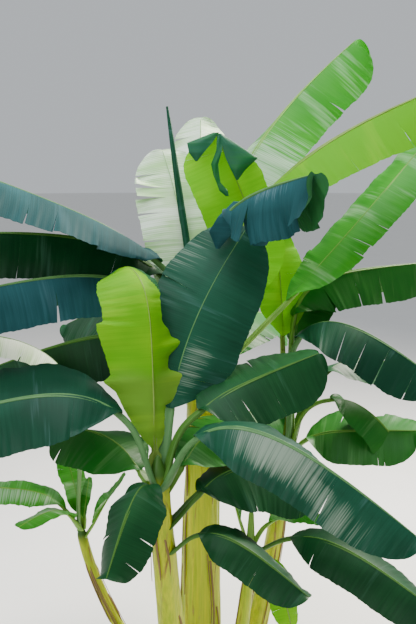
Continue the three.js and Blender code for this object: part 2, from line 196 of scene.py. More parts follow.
# top, light = a blade's upper side and its paler streaks, under = its lower side, rib = its midrib
# and stalk, wax = the colour of bands that are partly waxy bloom and partly a painted sheen of
# reflected sky and sun, silver = the colour of painted glare, sheen = how strongly those bands show,
# bands = how rare they are, lines = how far the fine veins cut them, glow = how much light comes
# through, gloss = roughness, shine = strength of reflections. The looks are partly the leaves' own
# colours and partly painted light: dark, deep and blue are painted darker for leaves that stand in
# shade, blue with a tint that paints the sky's reflection, fresh is painted lighter for leaves in
# sun, bright paints the glow of backlit leaves over the young leaves' own yellow-green, and pale
# paints the white glare of sunlit leaves
looks = {
    "blue": dict(top=(0.008, 0.045, 0.046), light=(0.02, 0.085, 0.092), under=(0.02, 0.12, 0.03),
        rib=(0.09, 0.2, 0.06), waxAndSheen=(0.11, 0.2, 0.23), silver=(0.3, 0.42, 0.46), sheen=0.22,
        bands=0.58, glow=0.06, gloss=0.6, shine=0.1),
    "deep": dict(top=(0.003, 0.04, 0.018), light=(0.008, 0.072, 0.036), under=(0.02, 0.11, 0.025),
        rib=(0.085, 0.2, 0.065), waxAndSheen=(0.15, 0.27, 0.28), silver=(0.3, 0.36, 0.27), sheen=0.36,
        bands=0.6, glow=0.07, gloss=0.36, shine=0.16),
    "dark": dict(top=(0.003, 0.038, 0.01), light=(0.008, 0.07, 0.018), under=(0.014, 0.09, 0.008),
        rib=(0.06, 0.15, 0.022), waxAndSheen=(0.1, 0.22, 0.16), silver=(0.25, 0.36, 0.3), sheen=0.35,
        bands=0.6, glow=0.08, gloss=0.38, shine=0.15),
    "mid": dict(top=(0.012, 0.13, 0.01), light=(0.03, 0.2, 0.018), under=(0.035, 0.2, 0.01),
        rib=(0.12, 0.26, 0.03), waxAndSheen=(0.26, 0.5, 0.2), silver=(0.4, 0.56, 0.36), sheen=0.4,
        bands=0.58, glow=0.22, gloss=0.4, shine=0.28),
    "fresh": dict(top=(0.035, 0.3, 0.01), light=(0.08, 0.42, 0.025), under=(0.09, 0.38, 0.015),
        rib=(0.22, 0.42, 0.05), waxAndSheen=(0.6, 0.84, 0.5), silver=(0.82, 0.92, 0.76), sheen=0.6,
        bands=0.52, glow=0.3, gloss=0.4, shine=0.35),
    "bright": dict(top=(0.15, 0.48, 0.002), light=(0.36, 0.7, 0.006), under=(0.2, 0.52, 0.003),
        rib=(0.2, 0.3, 0.05), waxAndSheen=(0.5, 0.76, 0.025), silver=(0.6, 0.8, 0.08), sheen=0.4,
        bands=0.52, glow=0.45, gloss=0.5, shine=0.16),
    "pale": dict(top=(0.34, 0.58, 0.22), light=(0.78, 0.88, 0.68), under=(0.1, 0.34, 0.03),
        rib=(0.2, 0.36, 0.12), waxAndSheen=(0.92, 0.96, 0.86), silver=(0.95, 0.97, 0.92), sheen=0.9,
        bands=0.36, lines=0.75, glow=0.2, gloss=0.4, shine=0.4),
}
turnedBack = (0.012, 0.085, 0.04)

# streak, band, blotch = scales of the noises, in waves a metre along the leaf and across it, vein =
# the fine veins' turn in radians a metre, byRib = how far from the midrib the blade is paler,
# silverFrom, paintedShadeFrom = how far above and below zero the tone brings the painted glare and
# the painted shade, silver, dull, wax = how far the painted glare, the painted shade and the bands of
# waxy bloom and painted sheen cover the blade, strength, depth = of its bumps
skin = dict(
    streak=(95.0, 3.0, 1.0), band=(9.0, 2.2, 1.0), blotch=5.5, vein=760.0, byRib=0.05,
    silverFrom=0.75, paintedShadeFrom=0.95, silver=0.7, paintedShade=0.7, waxAndSheen=0.85, strength=0.12, depth=0.002,
    refraction=1.45)


def bladeMaterial(name, look, base, second):
    # fine veins are a sine along the leaf bent by noise, streaks and bands of waxy bloom and painted
    # sheen are noise drawn out along the veins, and large blotches come from the object's own place;
    # a high tone turns the streaks to a painted glare, and one far below zero brings the rib's duller
    # colour as painted shade
    recipe = Recipe(name)
    sheet = recipe.sheet()
    along = recipe.node("ShaderNodeSeparateXYZ", None, {0: sheet})
    across = Wire(recipe, along.socket.node.outputs[1])
    tone = recipe.value("tone")
    streak = recipe.noise(sheet, skin["streak"], 3.0, 0.6)
    band = recipe.noise(sheet, skin["band"], 2.0, 0.5)
    blotch = recipe.noise(recipe.place(), skin["blotch"], 2.0, 0.5)
    vein = (along * skin["vein"] + streak * 2.2).sine() * 0.5 + 0.5
    byRib = (1.0 - across.size() / skin["byRib"]).held()
    pale = (blotch - 0.42) * 1.6 + (streak - 0.5) * 1.1 + tone * 0.6 + byRib * 0.3 + vein * 0.09
    colour = recipe.mixed(pale.held(), base, second)
    # painted shade: a tone far below zero darkens the blade towards the rib's colour
    paintedShade = ((tone * -1.0 - skin["paintedShadeFrom"]) * 1.3 + (streak - 0.5) * 0.8).held()
    colour = recipe.mixed(paintedShade * skin["paintedShade"], colour, look["rib"])
    # bands of waxy bloom and painted sheen of reflected sky and sun
    waxAndSheen = (band - look["bands"]) * 5.0 + (streak - 0.5) * 2.0 - vein * look.get("lines", 0.0)
    waxAndSheen = waxAndSheen.held() * look["sheen"]
    colour = recipe.mixed(waxAndSheen * skin["waxAndSheen"], colour, look["waxAndSheen"])
    # painted glare where the tone is high
    silver = (tone - skin["silverFrom"]) * 1.4 + (streak - 0.5) * 2.6 + (vein - 0.5) * 0.3
    colour = recipe.mixed(silver.held() * skin["silver"], colour, look["silver"])
    rough = look["gloss"] + streak * 0.12 + waxAndSheen * 0.08
    normal = recipe.bumped(vein * 0.35 + streak * 0.9 + band * 0.5, skin["strength"], skin["depth"])
    surface = recipe.surface(colour, rough, normal, look["shine"], skin["refraction"])
    through = recipe.node("ShaderNodeBsdfTranslucent", None, {"Color": second})
    return recipe.finish(recipe.node("ShaderNodeMixShader", None, {
        0: look["glow"], 1: surface, 2: through}))


# fibre, blotch = scales of the noises, dark = the share of red, green and blue in the dark fibres
ribSkin = dict(
    fibre=(6.0, 300.0, 1.0), blotch=14.0, dark=(0.45, 0.62, 0.5), strength=0.25, depth=0.002)


def ribMaterial(name, look):
    # fibres run along the rib, and the dark ones gather in blotches
    recipe = Recipe(name)
    fibre = recipe.noise(recipe.sheet(), ribSkin["fibre"], 2.0, 0.6)
    blotch = recipe.noise(recipe.place(), ribSkin["blotch"], 3.0, 0.6)
    dark = tuple(value * share for value, share in zip(look["rib"], ribSkin["dark"]))
    dusk = (fibre - 0.5) * 1.2 + (blotch - 0.4) * 1.6
    colour = recipe.mixed(dusk.held(), look["rib"], dark)
    normal = recipe.bumped(fibre, ribSkin["strength"], ribSkin["depth"])
    return recipe.finish(recipe.surface(colour, 0.36 + fibre * 0.15, normal, look["shine"]))


# the stems' colours, and the scales of their noises in waves a metre
sheath = dict(
    green=(0.36, 0.46, 0.002), lime=(0.76, 0.69, 0.003), deep=(0.12, 0.24, 0.004),
    neck=(0.035, 0.1, 0.012), brown=(0.13, 0.065, 0.02), straw=(0.38, 0.26, 0.09),
    fibre=(90.0, 90.0, 3.0), blotch=(9.0, 9.0, 3.0), speck=(60.0, 60.0, 22.0),
    strand=(8.0, 260.0, 1.0), strength=0.5, depth=0.004, strandDepth=0.003, shine=0.25)


def stemMaterial(name):
    # long fibres up the stem, darker green blotches, and brown where the sheaths' margins have
    # dried; below zero the same attribute turns the stem's neck green
    recipe = Recipe(name)
    place = recipe.place()
    dry = recipe.value("dry")
    fibre = recipe.noise(place, sheath["fibre"], 4.0, 0.65)
    blotch = recipe.noise(place, sheath["blotch"], 3.0, 0.6)
    speck = recipe.noise(place, sheath["speck"], 3.0, 0.6)
    colour = recipe.mixed(((fibre - 0.35) * 1.8).held(), sheath["green"], sheath["lime"])
    colour = recipe.mixed(((blotch - 0.5) * 3.0).held(), colour, sheath["deep"])
    colour = recipe.mixed((dry * -1.0).held(), colour, sheath["neck"])
    straw = recipe.mixed(((speck - 0.4) * 3.0).held(), sheath["brown"], sheath["straw"])
    worn = (dry * 1.5 + (speck - 0.62) * 2.2 + (fibre - 0.5) * 0.6).held()
    colour = recipe.mixed(worn, colour, straw)
    normal = recipe.bumped(fibre + worn * 0.4, sheath["strength"], sheath["depth"])
    return recipe.finish(recipe.surface(colour, 0.42 + worn * 0.4, normal, sheath["shine"]))


def dryMaterial(name):
    recipe = Recipe(name)
    fibre = recipe.noise(recipe.sheet(), sheath["strand"], 3.0, 0.6)
    colour = recipe.mixed(((fibre - 0.35) * 2.2).held(), sheath["brown"], sheath["straw"])
    normal = recipe.bumped(fibre, sheath["strength"], sheath["strandDepth"])
    return recipe.finish(recipe.surface(colour, 0.75 + fibre * 0.2, normal))


# Grids and meshes

def gridShell(upper, lower, sheet, tone, flipped, kinds):
    # two grids of rows x columns points, the upper and the lower skin, closed round their rim,
    # which takes the first of the two kinds of material; the tone is one value or a grid of them
    rows, columns = upper.shape[:2]
    index = np.arange(rows * columns).reshape(rows, columns)
    top = np.stack([index[:-1, :-1], index[1:, :-1], index[1:, 1:], index[:-1, 1:]], -1)
    top = top.reshape(-1, 4)
    bottom = (top + rows * columns)[:, ::-1]
    edge = np.concatenate([index[0, :-1], index[:-1, -1], index[-1, :0:-1], index[:0:-1, 0]])
    after = np.roll(edge, -1)
    rim = np.stack([edge, after, after + rows * columns, edge + rows * columns], -1)
    faces = np.concatenate([top, bottom, rim])
    if flipped:
        faces = faces[:, ::-1]
    kind = np.repeat([kinds[0], kinds[1], kinds[0]], [len(top), len(bottom), len(rim)])
    return {"points": np.concatenate([upper.reshape(-1, 3), lower.reshape(-1, 3)]), "faces": faces,
            "kind": kind, "sheet": np.concatenate([sheet.reshape(-1, 2)] * 2),
            "tone": np.concatenate([np.broadcast_to(tone, (rows, columns)).ravel()] * 2)}


def tube(rings, sheet, tone, kind):
    # rings of an even number of points, one after another, closed round and at both ends
    count, around = rings.shape[:2]
    index = np.arange(count * around).reshape(count, around)
    after = np.roll(index, -1, 1)
    side = np.stack([index[:-1], after[:-1], after[1:], index[1:]], -1).reshape(-1, 4)
    j = np.arange(around // 2 - 1)
    start = np.stack([j, around - 1 - j, around - 2 - j, j + 1], -1)
    end = start[:, ::-1] + (count - 1) * around
    faces = np.concatenate([side, start, end])
    return {"points": rings.reshape(-1, 3), "faces": faces, "kind": np.full(len(faces), kind),
            "sheet": sheet.reshape(-1, 2), "tone": np.broadcast_to(tone, (count, around)).ravel()}


# the least angle between two faces at an edge that isn't smoothed
sharpFrom = 55


def makePiece(name, parts, materials, nodes, attribute="tone"):
    # one mesh of all the parts, which takes the place of the named nodes
    starts = np.cumsum([0] + [len(p["points"]) for p in parts])
    faces = np.concatenate([p["faces"] + start for p, start in zip(parts, starts)])
    points, kind, sheet, tone = (np.concatenate([p[key] for p in parts])
                                 for key in ("points", "kind", "sheet", "tone"))
    mesh = bpy.data.meshes.new(name)
    mesh.vertices.add(len(points))
    mesh.vertices.foreach_set("co", (points * mm).ravel())
    mesh.loops.add(faces.size)
    mesh.loops.foreach_set("vertex_index", faces.ravel().astype(np.int32))
    mesh.polygons.add(len(faces))
    mesh.polygons.foreach_set("loop_start", np.arange(0, faces.size, 4, dtype=np.int32))
    mesh.polygons.foreach_set("material_index", kind.astype(np.int32))
    mesh.polygons.foreach_set("use_smooth", np.ones(len(faces), bool))
    layer = mesh.uv_layers.new(name="UVMap")
    layer.data.foreach_set("uv", (sheet * mm)[faces.ravel()].astype(np.float32).ravel())
    values = mesh.attributes.new(attribute, "FLOAT", "POINT")
    values.data.foreach_set("value", tone.astype(np.float32))
    mesh.update(calc_edges=True)
    for material in materials:
        mesh.materials.append(material)
    mesh.set_sharp_from_angle(angle=math.radians(sharpFrom))
    piece = placed(name, mesh)
    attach(piece, "root")
    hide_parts(*nodes)
    print(name, "triangles", 2 * len(faces))


def mix(first, second, share):
    return first + (second - first) * share


def faded(value, start, over):
    # 0 up to the start, then rising in proportion to 1 at the end of the stretch
    return np.clip((value - start) / over, 0, 1)


# a wave may start anywhere in a turn
anyStart = 6.28


def waves(along, lengths, starts):
    # the mean of sines of the given wave lengths, each with its own start in radians
    total = sum(np.sin(2 * np.pi * along / one + start) for one, start in zip(lengths, starts))
    return total / len(lengths)


# The stems' and leaves' common rule

# foot and head in plan, height, radii just above the foot's flare and at the neck, flare, and how
# many dry strands hang on the stem if not the usual number
stems = {
    "main": dict(foot=(0, 0), head=(20, 0), height=1560, lower=96, neck=58, flare=42, strands=22),
    "front": dict(foot=(-62, -214), head=(-145, -500), height=1250, lower=62, neck=36, flare=34),
    "right": dict(foot=(196, 84), head=(392, 250), height=1110, lower=54, neck=32, flare=28),
    "low": dict(foot=(118, -148), head=(213, -190), height=770, lower=34, neck=20, flare=22),
    "left": dict(foot=(-180, 38), head=(-500, -20), height=790, lower=34, neck=20, flare=22),
}


def axisAt(stem, share):
    # the axis leaves the foot leaning and then rises: lean = 1 - (1 - share) ^ 1.5
    lean = 1 - (1 - share) ** 1.5
    return np.stack([
        mix(stem["foot"][0], stem["head"][0], lean),
        mix(stem["foot"][1], stem["head"][1], lean),
        stem["height"] * share], -1)


trunk = dict(flareFades=55, drawnIn=0.45, drawnFrom=0.9, drawnOver=0.1)


def radiusAt(stem, share):
    # a straight taper, a flare at the foot that fades with the height, and a top that is drawn in
    flare = stem["flare"] * np.exp(-share * stem["height"] / trunk["flareFades"])
    drawn = trunk["drawnIn"] * faded(share, trunk["drawnFrom"], trunk["drawnOver"]) ** 2
    return (mix(stem["lower"], stem["neck"], share) + flare) * (1 - drawn)


def pointing(slope, turn):
    # the way forward at this slope and plan angle, in radians, and the level way to its left
    flat = np.cos(slope)
    forward = np.stack([flat * np.cos(turn), flat * np.sin(turn), np.sin(slope)], -1)
    return forward, np.stack([-np.sin(turn), np.cos(turn), np.zeros_like(turn)], -1)


def outwardOf(leaf):
    # the way in plan to the side of the stem where the leaf leaves it
    return pointing(0.0, np.radians(leaf["side"]))[0]


# start = how far out in the stem a leaf's line starts, as a share of the radius, reached = the share
# of the blade by which the tip's fold is reached, bow = how far a half bows down by its edge, narrow
# = its fold near the stalk, foldFrom, foldOver = the half width where the leaf's own fold sets in and
# the stretch over which it does, lean = that of the side veins
growth = dict(
    start=0.8, steps=240, reached=0.8, bow=8, narrow=25.0, foldFrom=16, foldOver=70, lean=0.22)


def leafLine(stem, leaf):
    # the slope along the leaf is rise - arch * s^n / (s^n + bend^n), n being the snap, and the
    # plan angle is face + sway * s; the line is the running sum of those directions
    share = np.float64(leaf["at"] / stem["height"])
    start = axisAt(stem, share) + radiusAt(stem, share) * growth["start"] * outwardOf(leaf)
    s = np.linspace(0, 1, growth["steps"] + 1)
    n = leaf["snap"]
    slope = np.radians(leaf["rise"] - leaf["arch"] * s ** n / (s ** n + leaf["bend"] ** n))
    turn = np.radians(leaf["face"] + leaf["sway"] * s)
    forward, left = pointing(slope, turn)
    roll = np.radians(leaf["roll"])
    left = left * np.cos(roll) + np.cross(forward, left) * np.sin(roll)
    travelled = np.cumsum(forward, 0) * leaf["length"] / growth["steps"]
    point = start + np.concatenate([np.zeros((1, 3)), travelled[:-1]])
    return {"point": point, "forward": forward, "left": left, "up": np.cross(forward, left)}


def lineAt(line, part, s):
    grid = np.linspace(0, 1, len(line[part]))
    return np.stack([np.interp(s, grid, line[part][:, k]) for k in range(3)], -1)


def outlineAt(leaf, u):
    # half the width as a share of its greatest: a sine to the power 0.8 opens it, and the square
    # root of 1 - last ^ 2.2 closes it with a rounded end
    opening = np.sin(np.pi / 2 * np.minimum(1, u / leaf["opens"])) ** 0.8
    last = np.maximum(0, (u - leaf["closes"]) / (1 - leaf["closes"]))
    return opening * np.sqrt(np.maximum(0, 1 - last ** 2.2))


def surfaceAt(leaf, line, u, across, way, half, extra):
    # a point of the blade's middle surface: from the midrib out along the half's fold angle, which
    # goes from the base's to the tip's value and bows down to the edge, and on along the leaf by the
    # lean of the side veins; the folds fade out where the leaf is narrow
    s = (leaf["stalk"] + leaf["blade"] * u) / leaf["length"]
    base, tip = leaf["left"] if way > 0 else leaf["right"]
    named = mix(base, tip, np.minimum(1, u / growth["reached"])) - growth["bow"] * across + extra
    narrow = np.where(u < 0.5, growth["narrow"], 0.0)
    fold = mix(narrow, named, faded(half, growth["foldFrom"], growth["foldOver"]))
    fold = np.radians(fold)[..., None]
    forward, left, up = (lineAt(line, part, s) for part in ("forward", "left", "up"))
    reach = (across * half)[..., None]
    spread = left * way * np.cos(fold) + up * np.sin(fold)
    normal = up * np.cos(fold) - left * way * np.sin(fold)
    leaning = forward * growth["lean"] * u[..., None]
    return lineAt(line, "point", s) + (spread + leaning) * reach, normal


# Leaves

# the order of a leaf piece's materials; only the bright one has the fourth, for turned-back rims
cover = dict(top=0, under=1, rib=2, turned=3)

# half a tear's opening is narrow + deep * (1 - near); a fully ragged half has a nick in every
# nickEvery; splits and nicks lie in places, start on the way from the midrib in splitStarts or
# nickStarts, and are left out where another lies less than apart away
tearing = dict(
    narrow=2.5, deep=3, nickEvery=150, places=(0.14, 0.9), apart=0.04, splitStarts=(0.15, 0.6),
    splitOpening=0.3, nickStarts=(0.75, 0.95), nickOpening=(0.8, 3.0))


def tearsOf(leaf, way, random):
    # (place, how near the midrib it starts, half its opening): the leaf's own tears on this side,
    # splits that stay shut, and small nicks in its margin dealt out by its raggedness
    found = [(place, near, leaf["gap"] * (tearing["narrow"] + tearing["deep"] * (1 - near)))
             for side, place, near in leaf["tears"] if side == way]
    nicks = int(round(leaf["ragged"] * leaf["blade"] / tearing["nickEvery"]))
    for number in range(leaf["splits"] + nicks):
        place = random.uniform(*tearing["places"])
        mark = (place, random.uniform(*tearing["splitStarts"]), tearing["splitOpening"])
        if number >= leaf["splits"]:
            near = random.uniform(*tearing["nickStarts"])
            mark = (place, near, random.uniform(*tearing["nickOpening"]))
        if all(abs(place - other[0]) > tearing["apart"] for other in found):
            found.append(mark)
    return sorted(found)


def lobed(leaf, way, u):
    # the sum of the margin's lobes: each rises over a share of the blade, falls over another and
    # is rounded at its top and its two feet
    total = np.zeros_like(u)
    for side, place, out, rise, fall in leaf["lobes"]:
        if side == way:
            t = np.clip(np.minimum((u - place + rise) / rise, (place + fall - u) / fall), 0, 1)
            total += out * t * t * (3 - 2 * t)
    return total


def silvery(leaf, way, u, across):
    # how far each point lies in a stretch of painted glare, which is painted shade where its strength
    # is
    # below zero: it swells and fades along the blade and across it
    total = np.zeros_like(u)
    for side, start, end, inner, outer, strength in leaf["silver"]:
        if side == way:
            along = np.sin(np.pi * faded(u, start, end - start))
            width = np.sin(np.pi * faded(across, inner, outer - inner))
            total += along * np.sqrt(width) * strength
    return total


def turnRims(leaf, way, u, across, strip):
    # the faces of a rim that is turned back take the fourth material on both skins
    count = u[:-1, :-1].size
    for side, start, inner in leaf["rims"]:
        if side == way:
            edge = mix(blade["rimNone"], inner, faded(u, start, blade["rimGrows"]))
            turned = (across >= edge)[:-1, :-1].ravel()
            strip["kind"][:count][turned] = cover["turned"]
            strip["kind"][count:2 * count][turned] = cover["turned"]


# thick = at the midrib, thinning = the share of it lost by the edge, first, last = where the blade's
# strips start and end, closeFirst, closeLast = powers that draw rows together there, slit = what
# parts any two strips, opened = the way out, past the margin, at which a tear is fully open, rimNone
# = that at which a turned-back rim has no width, rimGrows = the share of the blade over which it
# widens, silver = what a stretch of painted glare of strength 1 adds to the tone
blade = dict(
    thick=1.5, thinning=0.4, rowStep=6.0, leastRows=4, columns=13, first=0.004, last=0.9985,
    closeFirst=1.35, closeLast=1.7, slit=0.04, opened=1.25, rippleLengths=(29, 47, 83), ripple=2.0,
    swellLengths=(150, 245, 400), swell=7.0, edgeLengths=(26, 58, 140), edgeWave=2.6, rimNone=1.02,
    rimGrows=0.12, toneSpread=0.35, silver=1.6, seed=41)


def stripGrid(leaf, marks, number):
    # between two tears a strip is a grid: its rows run from tear to tear and its columns from the
    # midrib to the edge; a tear's two sides part in proportion to the way out from where it ends
    low, high = marks[number:number + 2]
    rows = max(blade["leastRows"], int(round((high[0] - low[0]) * leaf["blade"] / blade["rowStep"])))
    a = np.linspace(0, 1, rows + 1)[:, None]
    if number == 0:
        a = a ** blade["closeFirst"]
    if number == len(marks) - 2:
        a = 1 - (1 - a) ** blade["closeLast"]
    c = np.linspace(0, 1, blade["columns"])[None, :]
    lowGap, highGap = (blade["slit"] + opening * faded(c, near, blade["opened"] - near)
                       for _, near, opening in (low, high))
    u = mix(low[0] + lowGap / leaf["blade"], high[0] - highGap / leaf["blade"], a)
    near = mix(low[1], high[1], a)
    free = np.clip((c - near) / np.maximum(0.02, 1 - near), 0, 1)
    return u, c * np.ones_like(u), free


def bladeHalf(leaf, line, way, random, tone):
    # the strips of one half: waves at the margin, ripples and swells in the surface, lobes that
    # curl up, and a tilt of each strip's own where it is free of its neighbours
    marks = [(blade["first"], 1.0, 0.0)] + tearsOf(leaf, way, random) + [(blade["last"], 1.0, 0.0)]
    starts = random.uniform(0, anyStart, 9)
    strips = []
    for number in range(len(marks) - 1):
        u, across, free = stripGrid(leaf, marks, number)
        along = u * leaf["blade"]
        lobes = lobed(leaf, way, u)
        half = leaf["width"] / 2 * (leaf["slim"] if way < 0 else 1) + lobes
        half = half + waves(along, blade["edgeLengths"], starts[:3]) * blade["edgeWave"]
        half = half * outlineAt(leaf, u)
        extra = random.uniform(-1, 1) * leaf["loose"] * free
        middle, normal = surfaceAt(leaf, line, u, across, way, half, extra)
        ripple = waves(along, blade["rippleLengths"], starts[3:6]) * blade["ripple"] * across ** 1.2
        swell = waves(along, blade["swellLengths"], starts[6:]) * blade["swell"] * across ** 1.6
        lift = np.maximum(0, lobes) * leaf["lift"] * across ** 2
        middle = middle + normal * ((ripple + swell) * leaf["wavy"] + lift)[..., None]
        thin = normal * (blade["thick"] / 2 * (1 - blade["thinning"] * across))[..., None]
        forward = leaf["stalk"] + along + across * half * growth["lean"] * u
        sheet = np.stack([forward, way * across * half], -1)
        # stretches of painted glare raise the tone, and ones of painted shade lower it
        tones = tone + blade["silver"] * silvery(leaf, way, u, across)
        strip = gridShell(middle + thin, middle - thin, sheet, tones, way < 0,
                          (cover["top"], cover["under"]))
        turnRims(leaf, way, u, across, strip)
        strips.append(strip)
    return strips


hanging = dict(rows=40, columns=9, bow=12, bowShare=0.18, wave=3, waveDown=21, waveAcross=4)


def hangingSheet(leaf, line, along, rows):
    # a torn sheet that hangs from a place along the blade: each row has how far down it lies, its
    # two ends to the right of that place, and how far it stands out to the front
    a = np.linspace(0, len(rows) - 1, hanging["rows"])[:, None]
    c = np.linspace(0, 1, hanging["columns"])[None, :]
    down, first, second, front = (np.interp(a, range(len(rows)), part) for part in zip(*rows))
    s = np.float64((leaf["stalk"] + leaf["blade"] * along) / leaf["length"])
    x = mix(first, second, c)
    bow = np.sin(np.pi * c) * np.minimum(hanging["bow"], (second - first) * hanging["bowShare"])
    bow = bow + hanging["wave"] * np.sin(down / hanging["waveDown"] + c * hanging["waveAcross"])
    middle = lineAt(line, "point", s) + np.stack([x, -(front + bow), -down + 0 * c], -1)
    thin = np.array([0, -blade["thick"] / 2, 0])
    kinds = (cover["turned"],) * 2 if leaf["look"] == "bright" else (cover["top"], cover["under"])
    return gridShell(middle + thin, middle - thin, np.stack([down + 0 * c, x], -1), 0.0, False, kinds)


# half the stalk's width is least + perWidth * the leaf's width; foot, head = its shares of that at
# its ends, swell = what the foot gains, deep = its depth, above = how far it stands over the leaf's
# line, tipWide, tip = half width and depth at the leaf's tip, ridge = the share of the width above
# the blade, sunk = how far the foot goes into the stem; swellFades and sunkFades are lengths
rib = dict(
    step=12, around=16, end=0.994, least=7, perWidth=0.035, foot=0.94, head=0.8, swell=1.1,
    swellFades=100, deep=1.4, above=0.435, tipWide=1.6, tip=2.4, ridge=0.42, groove=0.34,
    grooveWide=0.5, sunk=0.8, sunkFades=45)


def stalkAndRib(leaf, line, tone):
    # an oval tube with a groove along its top: full width up the stalk, then narrowing under the
    # blade to its tip, where only a narrow ridge shows above; its ends are closed
    length = leaf["length"]
    split = leaf["stalk"] / length
    s = np.linspace(0, rib["end"], int(length / rib["step"]))[:, None]
    u = faded(s, split, 1 - split)
    stalkHalf = rib["least"] + rib["perWidth"] * leaf["width"]
    swell = 1 + rib["swell"] * np.exp(-s * length / rib["swellFades"])
    stalkWide = stalkHalf * swell * mix(rib["foot"], rib["head"], np.clip(s / split, 0, 1) ** 2)
    bladeWide = mix(stalkHalf * rib["head"], rib["tipWide"], u ** 0.75)
    deep = mix(stalkHalf * rib["deep"], rib["tip"], u ** 0.7)
    top = mix(rib["above"] * stalkHalf, rib["tip"], faded(s, split * 0.7, 0.12))
    t = np.linspace(0, 2 * np.pi, rib["around"], endpoint=False)[None, :]
    ridge = mix(1.0, rib["ridge"], np.clip(u * 6, 0, 1))
    x = np.where(u > 0, bladeWide, stalkWide) * np.cos(t) * np.where(np.sin(t) > 0.1, ridge, 1)
    y = top - deep / 2 + deep / 2 * np.sin(t)
    groove = rib["groove"] * deep * np.exp(-(np.cos(t) / rib["grooveWide"]) ** 2) * (np.sin(t) > 0)
    y = y - groove * (1 - np.clip(u * 4, 0, 1))
    ring = s * np.ones_like(t)
    point, left, up = (lineAt(line, part, ring) for part in ("point", "left", "up"))
    sunk = rib["sunk"] * stalkHalf * np.exp(-s * length / rib["sunkFades"])
    rings = point + left * x[..., None] + up * y[..., None] - outwardOf(leaf) * sunk[..., None]
    sheet = np.stack([ring * length, t * stalkHalf + 0 * ring], -1)
    return tube(rings, sheet, tone, cover["rib"])


# A leaf's keys: at = where it leaves its stem, side = the stem's side there, face = its plan angle,
# sway = how far that turns by the tip, rise = its slope at the foot, arch = how far it bends down,
# bend = the share of its length where half of that is done, snap = how suddenly, roll = its turn
# about its own line, left, right = the halves' folds at base and tip, opens, closes = the shares of
# the blade by which it is wide and from which it closes, slim = the right half's share of the left
# one's width, shade = what its tone gains, ragged = how nicked it is, splits = tears that stay shut,
# gap = how wide the others open, loose = how far the strips between them tilt, wavy = how strong the
# ripples are, lift = how far lobes curl up. A mark's first value is its side, 1 left and -1 right:
# tears = (side, place, how near the midrib), lobes = (side, place, how far out, share of the blade
# they rise over, share they fall over), rims turned back = (side, place, how far out), silver =
# (side, start, end, inner, outer, strength) of a stretch of painted glare, which is painted shade
# where the strength is below zero, flaps = (place, rows of a hanging sheet).
usual = dict(
    sway=0, snap=3, roll=0, opens=0.3, closes=0.62, slim=1, shade=0, ragged=0.15, splits=2, gap=1,
    loose=3, wavy=1.0, lift=0, tears=[], lobes=[], rims=[], silver=[], flaps=[])


def both(*mark):
    # the same mark on the left and the right side
    return [(1, *mark), (-1, *mark)]


def grow(name, at, face, rise, arch, bend, stalk, blade, width, left, right, look, **own):
    # a leaf with these values, and the usual ones where it has none of its own
    return dict(usual, name=name, at=at, face=face, side=face, rise=rise, arch=arch, bend=bend,
                stalk=stalk, blade=blade, length=stalk + blade, width=width, left=left,
                right=right, look=look) | own


